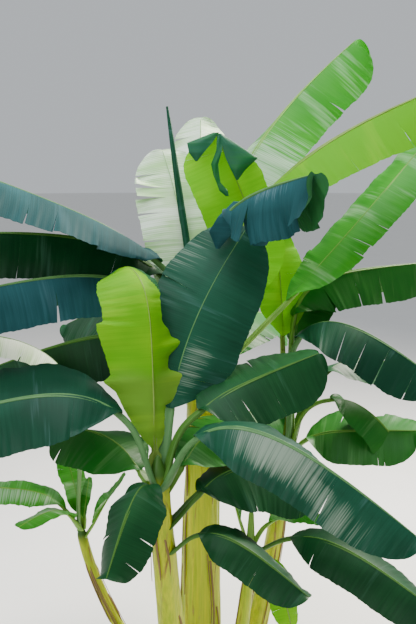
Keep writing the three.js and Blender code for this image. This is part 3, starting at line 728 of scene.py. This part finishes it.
leaves = {"main": [
    grow("left_top", 1465, 200, 88, 69, 0.24, 480, 1170, 380, (-15, -35), (10, -40), "blue",
        side=232, shade=-0.5, ragged=0.4, tears=[(1, 0.5, 0.5), (1, 0.6, 0.4)]),
    grow("left_middle", 1445, 190, 86, 92, 0.31, 420, 1130, 380, (-42, -60), (5, -40), "dark",
        tears=[(1, 0.62, 0.4), (-1, 0.5, 0.3)]),
    grow("left_low", 1375, 211, 80, 95, 0.34, 360, 1090, 350, (-40, -66), (-30, -52), "blue",
        side=216, tears=[(1, 0.32, 0.12), (1, 0.5, 0.3)]),
    grow("left_hanging", 1290, 172, 80, 105, 0.26, 270, 950, 390, (-68, -78), (-20, -50), "dark",
        side=160, tears=[(1, 0.6, 0.3)]),
    grow("top_right", 1500, 64, 85, 50, 0.42, 520, 1100, 400, (0, -35), (-25, -50), "fresh",
        side=62, sway=-46, closes=0.78, ragged=0.5, tears=[(-1, 0.5, 0.6), (-1, 0.7, 0.6)],
        silver=both(-0.3, 0.62, -0.4, 1.4, 1.0)),
    grow("arching_right", 1455, -4, 86, 72, 0.42, 680, 1120, 390, (10, -40), (-30, -62), "bright",
        side=-30, shade=-0.9, tears=[(-1, 0.6, 0.35)]),
    grow("folded_tip", 1510, 10, 55, -61, 0.42, 300, 690, 370, (10, 14), (10, 0), "bright", side=15,
        snap=5, roll=85, closes=0.78, slim=0.6, ragged=0.0, splits=1,
        lobes=[(-1, 0.97, -70, 0.3, 0.1)], flaps=[
        (1, [(-4, 8, 20, 10), (42, 23, 91, 30), (91, 37, 166, 45), (137, 58, 116, 50),
            (178, 79, 87, 50)]),
        (1, [(-8, -12, 12, 8), (33, -116, -17, 45), (71, -108, -50, 62), (104, -83, -75, 62)]),
        (1, [(0, 4, 25, 12), (62, 0, 23, 44), (116, -21, 8, 52), (158, -12, 12, 56),
            (187, 0, 17, 58), (220, 12, 46, 60), (241, 37, 50, 60)])]),
    grow("drooping_front", 1490, -58, 88, 80, 0.47, 690, 560, 400, (-40, -62), (-50, -70), "blue",
        side=-88, snap=5, shade=-0.5, ragged=0.0, splits=1, gap=0.7, loose=14, wavy=3,
        tears=[(-1, 0.3, 0.15), (-1, 0.55, 0.15), (1, 0.4, 0.15), (1, 0.7, 0.3)],
        silver=[(1, 0.0, 1.0, -0.4, 0.5, 0.7), (-1, 0.0, 1.0, -0.4, 0.45, 0.7)], flaps=[
        (0, [(-38, 19, 94, 10), (19, -41, 56, 25), (75, -75, 19, 30), (142, -49, -34, 20)]),
        (0, [(0, 49, 146, 5), (75, 64, 176, 20), (131, 94, 146, 15)])]),
    grow("back_left_upright", 1480, 119, 82, 40, 0.75, 170, 760, 340, (10, -10), (25, 15), "pale",
        side=136, ragged=0.7, splits=4, gap=1.6, loose=14, tears=[(1, 0.3, 0.5), (1, 0.44, 0.4),
        (1, 0.6, 0.4), (1, 0.75, 0.3), (-1, 0.55, 0.4)]),
    grow("back_upright", 1500, 90, 73, 30, 0.7, 310, 800, 330, (10, -20), (10, -25), "pale",
        side=108, ragged=0.5, splits=5, loose=10, tears=[(1, 0.5, 0.2), (1, 0.65, 0.2),
        (-1, 0.45, 0.2), (-1, 0.6, 0.2)]),
    grow("right_straight", 1430, 20, 42, -6, 0.5, 440, 1100, 280, (20, 10), (-10, -35), "fresh",
        side=-36, tears=[(-1, 0.35, 0.2)]),
    grow("back_low", 1320, 98, 70, 85, 0.4, 300, 1100, 380, (0, -45), (0, -45), "mid",
        tears=[(1, 0.5, 0.2), (-1, 0.65, 0.2)]),
    grow("back_left_low", 1240, 128, 62, 90, 0.4, 280, 1000, 370, (-10, -45), (-10, -55), "dark",
        side=120, tears=[(1, 0.55, 0.2)]),
    grow("back_right_low", 1190, 70, 62, 90, 0.4, 280, 1050, 370, (-5, -45), (-5, -50), "mid",
        tears=[(-1, 0.5, 0.2)]),
], "front": [
    # the stretch of negative strength paints shade over the half of the blade nearest the stalk
    grow("young", 1190, 120, 87, 130, 0.9, 60, 785, 340, (-20, -12), (-24, -20), "bright", side=110,
        snap=8, opens=0.52, closes=0.74, slim=0.75, ragged=0.0, splits=0, wavy=1.2, lift=1.3,
        lobes=[(1, 0.6, 26, 0.2, 0.015), (1, 0.345, 34, 0.07, 0.015), (-1, 0.26, 90, 0.09, 0.1),
        (-1, 0.34, 64, 0.08, 0.03), (-1, 0.48, 30, 0.07, 0.04), (-1, 0.62, -58, 0.1, 0.3)],
        rims=[(1, 0.9, 0.55), (-1, 0.74, 0.45)], silver=both(-0.6, 0.5, -0.5, 1.5, -2.6)),
    grow("left", 1140, 190, 78, 100, 0.3, 300, 950, 400, (-30, -62), (20, 34), "deep", side=232,
        ragged=0.2, silver=[(1, 0.2, 0.8, -0.2, 0.3, 0.4)]),
    grow("tall", 1190, 62, 74, 27, 0.5, 220, 770, 410, (6, 4), (0, -5), "deep", side=70, sway=-30,
        roll=34, closes=0.5, ragged=0.1, silver=[(1, 0.5, 0.98, 0.3, 1.5, 0.3),
        (-1, 0.0, 0.45, -0.1, 0.6, 0.45)]),
    grow("right_long", 1120, -25, 68, 105, 0.3, 250, 940, 350, (10, -35), (-40, -60), "deep",
        side=-40, ragged=0.2, splits=0, tears=[(-1, 0.62, 0.45)],
        silver=[(-1, 0.1, 0.66, -0.35, 0.8, 0.8), (-1, 0.5, 0.86, 0.25, 1.3, 0.5)]),
    grow("right_middle", 1160, 18, 80, 66, 0.28, 290, 520, 360, (25, 5), (-30, -58), "dark",
        side=-24, tears=[(-1, 0.3, 0.3)]),
    grow("left_back", 1120, 150, 50, 66, 0.5, 70, 440, 330, (-20, -40), (10, -20), "mid", side=160),
    grow("right_back", 1105, 42, 46, 60, 0.5, 100, 560, 330, (10, -10), (-30, -40), "mid"),
    grow("right_low", 960, 14, 50, 100, 0.55, 160, 540, 370, (10, -20), (-30, -50), "dark"),
    grow("hanging", 1120, -110, 35, 85, 0.3, 60, 460, 260, (-20, -40), (-20, -40), "dark",
        tears=[(1, 0.6, 0.5)]),
    grow("lowest", 845, -29, 50, 85, 0.32, 160, 490, 220, (10, -20), (-30, -50), "dark"),
], "right": [
    grow("arching", 1075, -20, 92, 128, 0.47, 470, 720, 380, (0, -40), (-20, -50), "deep", side=-70,
        snap=6, gap=0.6, loose=12, wavy=1.5, tears=[(-1, 0.36, 0.1), (-1, 0.5, 0.2),
        (-1, 0.64, 0.05), (-1, 0.83, 0.3)], silver=[(1, 0.3, 0.95, -0.3, 0.5, 0.5)]),
    grow("young", 1080, 110, 91, 24, 0.7, 460, 470, 200, (25, 0), (25, 0), "bright", side=170,
        shade=-0.6, ragged=0.0, lobes=both(0.45, 24, 0.45, 0.5)),
    grow("back", 1040, 48, 86, 60, 0.7, 460, 560, 290, (0, -30), (-20, -50), "mid", side=115,
        roll=-20, tears=[(-1, 0.5, 0.3)]),
    grow("level", 1060, 16, 92, 90, 0.5, 570, 800, 330, (-20, -60), (-50, -72), "mid", side=20,
        snap=9, ragged=0.4, loose=8, tears=[(-1, 0.25, 0.2), (-1, 0.45, 0.3), (-1, 0.6, 0.2),
        (1, 0.5, 0.2)]),
    grow("low", 1005, -20, 60, 56, 0.2, 110, 500, 330, (30, 10), (-35, -45), "mid",
        tears=[(1, 0.3, 0.3)]),
    grow("far_right", 1010, 40, 70, 100, 0.4, 400, 700, 300, (-10, -40), (-20, -55), "dark",
        side=55, tears=[(-1, 0.5, 0.2)]),
    grow("back_hanging", 960, -20, 86, 165, 0.5, 400, 440, 240, (-10, -45), (-10, -45), "mid",
        tears=[(1, 0.6, 0.2)]),
], "low": [
    grow("front_right", 730, -38, 38, 66, 0.35, 220, 720, 270, (12, -15), (-30, -45), "dark",
        side=-60),
    grow("small_right", 755, 20, 66, 80, 0.3, 120, 300, 110, (10, -10), (-30, -50), "fresh",
        side=10),
    grow("small_hanging", 690, -62, 36, 110, 0.4, 100, 320, 130, (-20, -30), (-20, -30), "bright"),
    grow("upright_left", 755, 170, 76, 14, 0.5, 120, 340, 90, (25, 0), (25, 0), "fresh"),
    grow("upright_back", 760, 80, 80, 14, 0.5, 130, 380, 100, (25, 0), (25, 0), "fresh", side=90),
], "left": [
    grow("level", 770, 184, 62, 62, 0.3, 100, 480, 160, (-20, -40), (25, 0), "fresh", side=215,
        silver=[(1, -0.3, 1.2, -0.5, 1.2, 0.8), (-1, -0.3, 1.2, -0.5, 1.2, 0.5)]),
    grow("front", 765, 225, 64, 84, 0.4, 60, 300, 150, (20, 0), (0, -20), "fresh", side=230,
        silver=[(1, -0.3, 1.2, -0.5, 1.2, 0.6), (-1, -0.3, 1.2, -0.5, 1.2, 0.9)]),
    grow("upright_back", 755, 130, 78, 20, 0.5, 60, 280, 120, (30, 0), (30, 0), "fresh", side=90),
    grow("small_spear", 765, 50, 84, 8, 0.5, 40, 180, 60, (50, 20), (50, 20), "fresh", side=30),
    grow("tall", 770, 192, 94, 104, 0.66, 610, 560, 230, (-10, -30), (0, -30), "pale", side=180,
        snap=5, tears=[(1, 0.5, 0.3)]),
    grow("right_up", 730, 8, 62, 8, 0.5, 60, 260, 90, (50, 20), (50, 20), "fresh"),
]}

# the new leaf, still rolled: radii at its foot, middle and tip, how often its seam winds round,
# the share of the radius where the roll starts and what it grows by in one turn
spear = dict(
    stem="main", at=1500, face=126, rise=76, length=1060, foot=19, middle=16, tip=5, turns=1.6,
    rows=160, around=40, first=0.03, last=0.998, inner=0.86, grows=0.16)


def rolledLeaf():
    # a slim tapering roll with a seam that winds up it; its upper half narrows with a power of 2.2
    stem = stems[spear["stem"]]
    forward, left = pointing(np.radians(spear["rise"]), np.radians(spear["face"]))
    up = np.cross(forward, left)
    s = np.linspace(spear["first"], spear["last"], spear["rows"])[:, None]
    upper = np.clip(s * 2 - 1, 0, 1) ** 2.2
    radius = np.where(s < 0.5, mix(spear["foot"], spear["middle"], s * 2),
                      mix(spear["middle"], spear["tip"], upper))
    t = np.linspace(0, 2 * np.pi, spear["around"], endpoint=False)[None, :]
    seam = np.mod(t / (2 * np.pi) - s * spear["turns"], 1)
    radius = radius * (spear["inner"] + spear["grows"] * seam)
    start = axisAt(stem, np.float64(spear["at"] / stem["height"]))
    centre = start + forward * (spear["length"] * s)[..., None]
    rings = centre + left * (radius * np.cos(t))[..., None] + up * (radius * np.sin(t))[..., None]
    sheet = np.stack([s * spear["length"] + 0 * t, radius * t], -1)
    return tube(rings, sheet, 0.0, cover["top"])


def makeLeaves():
    random = np.random.default_rng(blade["seed"])
    byLook = {look: {"parts": [], "nodes": []} for look in looks}
    for stemName, grown in leaves.items():
        for leaf in grown:
            line = leafLine(stems[stemName], leaf)
            tone = random.uniform(-blade["toneSpread"], blade["toneSpread"]) + leaf["shade"]
            own = np.random.default_rng(random.integers(1, 99999))
            group = byLook[leaf["look"]]
            for way in (1, -1):
                group["parts"] += bladeHalf(leaf, line, way, own, tone)
            group["parts"] += [hangingSheet(leaf, line, along, rows) for along, rows in leaf["flaps"]]
            group["parts"].append(stalkAndRib(leaf, line, tone))
            group["nodes"].append("leaf_" + stemName + "_" + leaf["name"])
    byLook["deep"]["parts"].append(rolledLeaf())
    byLook["deep"]["nodes"].append("leaf_main_rolled")
    for name, group in byLook.items():
        look = looks[name]
        materials = [bladeMaterial("blade_" + name, look, look["top"], look["light"]),
                     bladeMaterial("underside_" + name, look, look["under"], look["light"]),
                     ribMaterial("rib_" + name, look)]
        if name == "bright":
            materials.append(
                bladeMaterial("turned_back", looks["dark"], turnedBack, looks["mid"]["top"]))
        makePiece("leaves_" + name, group["parts"], materials, group["nodes"])


# Stems

# layer = what one leaf's base adds to the stem, over edge each side of its margin, above = how far it
# reaches over its leaf, fades = how softly, half, more = how far round it reaches each way under the
# leaf and what it gains further down, over wrap, margin = the width that dries, full = the radius
# from which the relief has its full depth, dome, neck = the shares where the top rounds off and
# turns green, old = how dry the foot is
relief = dict(
    around=120, rowStep=9.0, layer=3.2, edge=2.2, above=30, fades=12, half=35, more=138, wrap=300.0,
    margin=5.0, fibre=0.7, full=60, fibreLengths=(4.5, 7.3, 13.0, 31.0), dome=0.93, neck=0.86,
    neckOver=0.08, oldBelow=250, oldOver=500, old=0.4, seed=7)


def sheathRelief(grown, angle, height, radius):
    # how high each point stands and how dry it is: every leaf's base wraps the stem with one more
    # layer whose margin leaves a line, and further down it reaches almost round
    depth = np.zeros_like(angle)
    dry = np.zeros_like(angle)
    for number, leaf in enumerate(sorted(grown, key=lambda one: -one["at"])):
        drop = leaf["at"] + relief["above"] - height
        wrapped = 1 - np.exp(-np.maximum(0, drop) / relief["wrap"])
        covered = np.radians(relief["half"]) + np.radians(relief["more"]) * wrapped
        twist = 0.25 * np.sin(number * 2.1 + height / 320)
        away = angle - math.radians(leaf["side"]) - twist
        away = np.abs(np.mod(away + np.pi, 2 * np.pi) - np.pi)
        inside = (covered - away) * radius
        below = 1 / (1 + np.exp(-drop / relief["fades"]))
        depth += relief["layer"] / (1 + np.exp(-inside / relief["edge"])) * below
        worn = 0.5 + 0.5 * np.sin(height / 47 + number * 1.9) * np.sin(height / 131 + number)
        margin = np.exp(-(inside / relief["margin"]) ** 2)
        dry = np.maximum(dry, margin * below * worn * ((number * 0.618) % 1))
    return depth - depth.mean(1, keepdims=True), dry


strand = dict(
    usual=8, top=(0.25, 0.85), length=(120, 420), width=(4, 16), rows=26, columns=5, lowest=0.01,
    stand=2.5, bend=5, round=1.5, twist=0.1, narrows=0.7, thick=1.2)


def strandRibbons(stem, random):
    # dry strips of old sheath that hang down close against the stem, each a thin bent shell whose
    # head is sunk into it and whose foot stands off a little
    made = []
    for _ in range(stem.get("strands", strand["usual"])):
        topShare = random.uniform(*strand["top"])
        length = random.uniform(*strand["length"])
        width = random.uniform(*strand["width"])
        angle = random.uniform(0, 2 * np.pi)
        a = np.linspace(0, 1, strand["rows"])[:, None]
        c = np.linspace(-1, 1, strand["columns"])[None, :]
        share = np.maximum(strand["lowest"], topShare - a * length / stem["height"])
        radius = radiusAt(stem, share)
        stand = strand["stand"] - strand["bend"] * np.exp(-a * 14)
        stand = stand + strand["bend"] * a ** 2 * (0.4 + 0.6 * np.sin(a * 5 + angle))
        stand = stand + strand["round"] * (1 - c ** 2)
        turn = angle + strand["twist"] * np.sin(a * 4 + angle)
        turn = turn + c * width * (1 - strand["narrows"] * a ** 3) / 2 / radius
        out = np.stack([np.cos(turn), np.sin(turn), 0 * turn], -1)
        centre = axisAt(stem, share * np.ones_like(c))
        outer = centre + out * (radius + stand)[..., None]
        inner = centre + out * (radius + stand - strand["thick"])[..., None]
        sheet = np.stack([a * length + 0 * c, c * width / 2 + 0 * a], -1)
        made.append(gridShell(outer, inner, sheet, 1.0, False, (1, 1)))
    return made


def makeStems():
    random = np.random.default_rng(relief["seed"])
    materials = [stemMaterial("sheath"), dryMaterial("dry_sheath")]
    for name, stem in stems.items():
        share = np.linspace(0, 1, int(stem["height"] / relief["rowStep"]))[:, None]
        angle = np.linspace(0, 2 * np.pi, relief["around"], endpoint=False)[None, :]
        radius = radiusAt(stem, share)
        height = stem["height"] * share + 0 * angle
        depth, dry = sheathRelief(leaves[name], angle + 0 * share, height, radius)
        starts = random.uniform(0, anyStart, len(relief["fibreLengths"]))
        fibre = waves(np.degrees(angle) + height * 0.01, relief["fibreLengths"], starts)
        dome = 1 - faded(share, relief["dome"], 1 - relief["dome"]) ** 1.5
        depth = depth + fibre * relief["fibre"]
        full = radius + depth * np.minimum(1, radius / relief["full"])
        full = full * np.sqrt(np.maximum(0.0004, dome))
        rings = axisAt(stem, share * np.ones_like(angle))
        rings = rings + np.stack([full * np.cos(angle), full * np.sin(angle), 0 * full], -1)
        sheet = np.stack([height, angle * radius], -1)
        old = np.clip((relief["oldBelow"] - height) / relief["oldOver"], 0, 1) * relief["old"]
        # the top is as green as the leaf stalks
        neck = faded(share, relief["neck"], relief["neckOver"])
        parts = [tube(rings, sheet, np.clip(dry + old, 0, 1) * (1 - neck) - neck, 0)]
        parts += strandRibbons(stem, random)
        makePiece("stem_" + name + "_sheaths", parts, materials, ["stem_" + name], "dry")


# Floor

def makeFloor():
    recipe = Recipe("floor")
    grain = recipe.noise(recipe.place(), 3.0, 3.0, 0.5)
    colour = recipe.mixed(grain, room["floor"], room["darker"])
    surface = recipe.node("ShaderNodeBsdfPrincipled", None, {"Base Color": colour, "Roughness": 0.9})
    size, corners = room["size"], room["corners"]
    turns = [2 * math.pi * number / corners for number in range(corners)]
    mesh = bpy.data.meshes.new("floor")
    mesh.from_pydata([(size * math.cos(turn), size * math.sin(turn), 0) for turn in turns],
                     [], [tuple(range(corners))])
    mesh.materials.append(recipe.finish(surface))
    floor = placed("floor", mesh)


makeView()
print("view, lamps and room")
makeStems()
print("stems")
makeLeaves()
print("leaves")
makeFloor()
print("floor")
